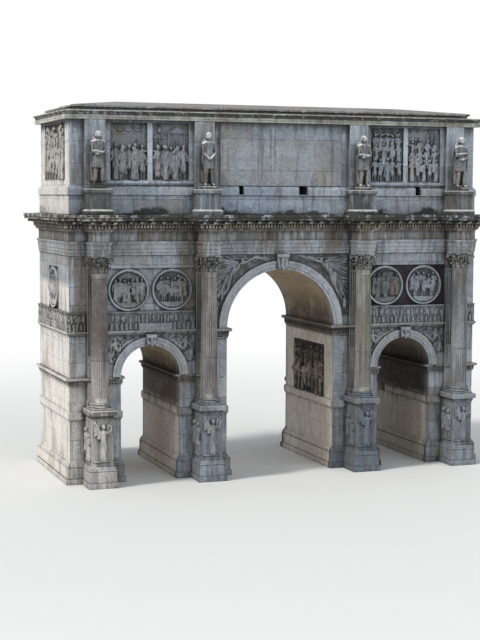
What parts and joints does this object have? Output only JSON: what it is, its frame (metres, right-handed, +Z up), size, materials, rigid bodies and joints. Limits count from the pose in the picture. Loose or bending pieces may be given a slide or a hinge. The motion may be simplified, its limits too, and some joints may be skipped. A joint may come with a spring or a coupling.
{
  "type": "triumphal arch",
  "caption": "Roman triumphal arch with vaulted passages, free-standing fluted columns on pedestals, roundels, a broken-forward cornice and an attic with statues.",
  "frame": {"origin": "middle of the plan at ground level", "axes": "+X along the front towards the viewer's right, +Y into the depth away from the viewer, +Z up"},
  "size_m": [26.102, 11.852, 20.9],
  "materials": {
    "grey_marble": "matte",
    "yellow_marble": "matte",
    "capital_marble": "matte",
    "carved_marble": "matte",
    "statue_marble": "matte",
    "porphyry": "matte",
    "weathered_cornice": "matte",
    "roof_stone": "matte"
  },
  "bodies": {
    "root": {"pier_bases": "grey_marble", "outer_left_pier": "grey_marble", "inner_left_pier": "grey_marble", "inner_right_pier": "grey_marble", "outer_right_pier": "grey_marble", "left_arch_wall": "grey_marble", "center_arch_wall": "grey_marble", "right_arch_wall": "grey_marble", "pier_bands": "grey_marble", "side_imposts": "grey_marble", "center_imposts": "grey_marble", "side_archivolts": "grey_marble", "center_archivolts": "grey_marble", "keystones": "grey_marble", "pedestals": "grey_marble", "column_bases": "grey_marble", "column_shafts": "yellow_marble", "column_capitals": "capital_marble", "pilaster_bases": "grey_marble", "pilaster_shafts": "grey_marble", "pilaster_capitals": "capital_marble", "roundels": "carved_marble", "porphyry_panels": "porphyry", "relief_bands": "carved_marble", "relief_ledges": "grey_marble", "passage_reliefs": "carved_marble", "architrave": "weathered_cornice", "frieze": "weathered_cornice", "dentil_course": "weathered_cornice", "modillions": "weathered_cornice", "main_cornice": "weathered_cornice", "attic_front_base": "grey_marble", "attic_back_base": "grey_marble", "attic_end_bases": "grey_marble", "attic_front_wall": "grey_marble", "attic_back_wall": "grey_marble", "attic_end_walls": "grey_marble", "attic_piers": "grey_marble", "attic_reliefs": "carved_marble", "inscription_panels": "grey_marble", "attic_cornice": "weathered_cornice", "roof_slab": "roof_stone", "statue_pedestals": "grey_marble", "statues": "statue_marble"}
  },
  "joints": []
}
